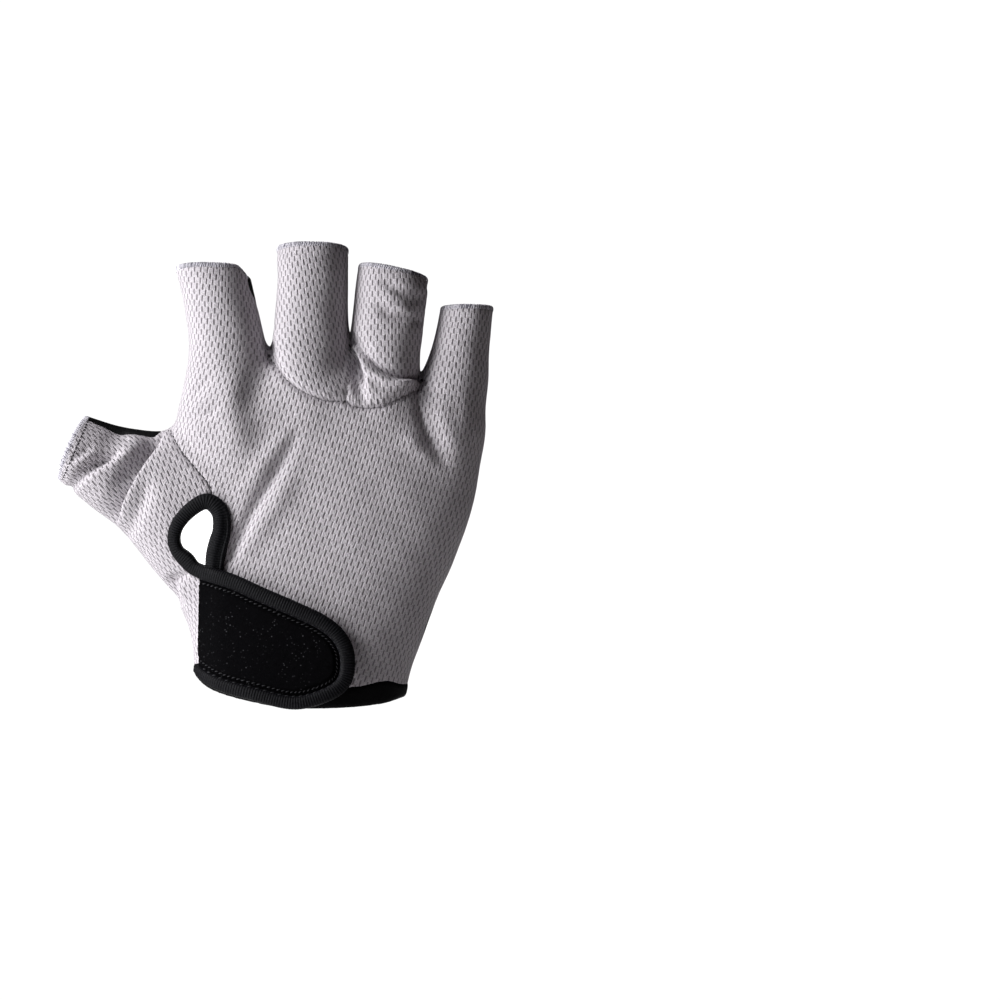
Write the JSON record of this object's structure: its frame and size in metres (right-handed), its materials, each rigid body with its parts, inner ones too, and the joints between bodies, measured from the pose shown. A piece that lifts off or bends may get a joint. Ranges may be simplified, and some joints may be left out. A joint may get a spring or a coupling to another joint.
{
  "type": "cycling glove",
  "caption": "Fingerless cycling glove with a mesh back, a black palm, a bound keyhole slit and a wrist strap, in the shape of a hand.",
  "frame": {"origin": "middle of the wrist opening", "axes": "+Z from the wrist to the fingertips, -Y out of the back of the hand, +X from the thumb to the little finger"},
  "size_m": [0.1406, 0.0468, 0.1486],
  "materials": {
    "mesh_fabric": "light grey knitted mesh with staggered slits",
    "palm_leather": "fine-grained black synthetic leather, pale backing inside",
    "hem_thread": "grey overlock thread",
    "ribbed_tape": "black ribbed elastic tape",
    "strap_pile": "black brushed pile"
  },
  "bodies": {
    "root": {"back_panel": "mesh_fabric", "middle_back": "mesh_fabric", "ring_back": "mesh_fabric", "thumb_base_panel": "mesh_fabric", "thumb_back": "mesh_fabric", "palm_panel": "palm_leather", "thumb_palm": "palm_leather", "index_hem": "hem_thread", "middle_hem": "hem_thread", "ring_hem": "hem_thread", "little_hem": "hem_thread", "thumb_hem": "hem_thread", "cuff_hem": "ribbed_tape", "keyhole_binding": "ribbed_tape", "strap_binding": "ribbed_tape", "strap_tab": "strap_pile", "hook_patch": "strap_pile"}
  },
  "joints": []
}
